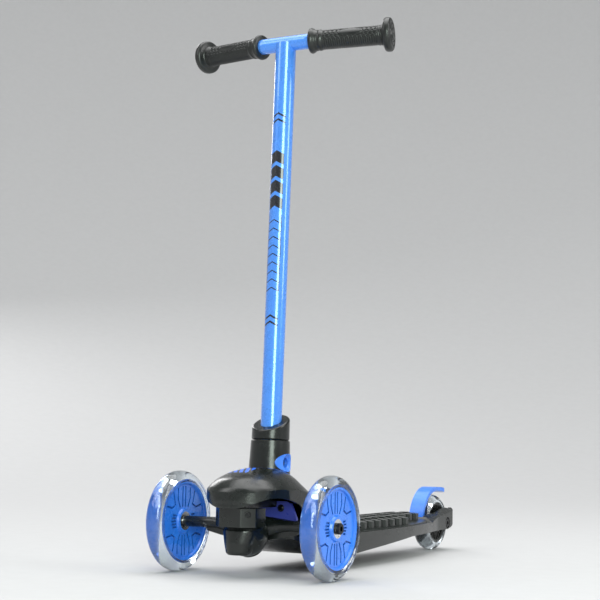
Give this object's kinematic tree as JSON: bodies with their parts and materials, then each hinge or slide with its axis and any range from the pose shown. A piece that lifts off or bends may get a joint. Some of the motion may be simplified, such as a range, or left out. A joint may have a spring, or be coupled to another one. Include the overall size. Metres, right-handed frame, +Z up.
{
  "type": "kick scooter",
  "caption": "Child kick scooter with lean-to-steer front truck, lit front wheels, low rubber-topped deck, rear foot brake and T-bar handle.",
  "frame": {"origin": "on the ground, under the middle of the scooter's length and width (bottom centre of its bounding box)", "axes": "+Z up, +X to the rider's left, the scooter rolls forwards towards -Y"},
  "size_m": [0.2774, 0.611, 0.6725],
  "materials": {
    "blue_tube": "glossy anodised-look blue lacquer on tube",
    "grip_rubber": "soft satin rubber with moulded dots and ribs",
    "black_gloss": "glossy black moulding",
    "blue_plastic": "glossy blue moulding",
    "wheel_blue": "glossy deep blue moulding",
    "clear_tyre": "clear cast polyurethane, slightly smoky",
    "rear_hub_black": "glossy black moulding",
    "deck_rubber": "satin grey-black rubber pad",
    "pivot_rubber": "matt rubber",
    "polished_steel": "bright steel",
    "black_steel": "blackened steel",
    "bushing_plastic": "dull nylon",
    "dynamo_copper": "lacquered copper winding",
    "dynamo_magnet": "sintered magnet",
    "light_lens": "milky clear lens"
  },
  "bodies": {
    "frame": {"deck_shell": "black_gloss", "deck_pad": "deck_rubber", "pivot_housing": "black_gloss", "chin_screws": "black_steel", "housing_screws": "black_steel", "kingpin_bolt": "black_steel", "kingpin_washer": "polished_steel", "kingpin_nut": "black_steel", "return_rubber": "pivot_rubber", "hood_cover": "black_gloss", "steering_guard": "blue_plastic", "guard_screws": "black_steel", "neck_socket": "black_gloss", "neck_cap": "black_gloss", "button_surround": "blue_plastic", "column_tube": "blue_tube", "crossbar_tube": "blue_tube", "bar_end_plugs": "bushing_plastic", "grip_left": "grip_rubber", "grip_right": "grip_rubber", "rear_axle_bolt": "black_steel", "rear_axle_nut": "black_steel", "rear_axle_spacers": "bushing_plastic", "rear_bearing_inner_rings": "polished_steel", "brake_pin": "polished_steel", "brake_springs": "polished_steel"},
    "front_truck": {"truck_beam": "black_gloss", "steer_bushings": "bushing_plastic", "axle_bolt_left": "black_steel", "axle_bolt_right": "black_steel", "arm_spacers": "black_gloss", "dynamo_magnets": "dynamo_magnet", "front_bearing_inner_rings": "polished_steel"},
    "front_wheel_left": {"wheel_core_left": "wheel_blue", "tyre_left": "clear_tyre", "light_modules_left": "light_lens", "bearing_outer_rings_left": "polished_steel", "bearing_balls_left": "polished_steel", "dynamo_coil_left": "dynamo_copper"},
    "front_wheel_right": {"wheel_core_right": "wheel_blue", "tyre_right": "clear_tyre", "light_modules_right": "light_lens", "bearing_outer_rings_right": "polished_steel", "bearing_balls_right": "polished_steel", "dynamo_coil_right": "dynamo_copper"},
    "rear_wheel": {"rear_hub": "rear_hub_black", "rear_tyre": "clear_tyre", "rear_bearing_outer_rings": "polished_steel", "rear_bearing_balls": "polished_steel"},
    "brake": {"brake_fender": "blue_plastic"},
    "release_button": {"snap_button": "polished_steel", "snap_clip": "polished_steel"}
  },
  "joints": [
    {"name": "lean_steer", "type": "hinge", "parent": "frame", "child": "front_truck", "pos_m": [0, -0.2595, 0.05], "axis": [0, -0.5736, 0.8192], "range_deg": [-12, 12], "stiffness_Nm_per_rad": 50},
    {"name": "front_wheel_left_spin", "type": "hinge", "parent": "front_truck", "child": "front_wheel_left", "pos_m": [0.1035, -0.2455, 0.06], "axis": [1, 0, 0], "continuous": true},
    {"name": "front_wheel_right_spin", "type": "hinge", "parent": "front_truck", "child": "front_wheel_right", "pos_m": [-0.1035, -0.2455, 0.06], "axis": [1, 0, 0], "continuous": true},
    {"name": "rear_wheel_spin", "type": "hinge", "parent": "frame", "child": "rear_wheel", "pos_m": [0, 0.2655, 0.04], "axis": [1, 0, 0], "continuous": true},
    {"name": "brake_press", "type": "hinge", "parent": "frame", "child": "brake", "pos_m": [0, 0.2105, 0.041], "axis": [-1, 0, 0], "range_deg": [0, 5.5], "stiffness_Nm_per_rad": 3, "springref_deg": -6.88},
    {"name": "button_press", "type": "slide", "parent": "frame", "child": "release_button", "axis": [-1, 0, 0], "range_m": [0, 0.0042], "stiffness_N_per_m": 600, "springref_m": -0.003}
  ]
}
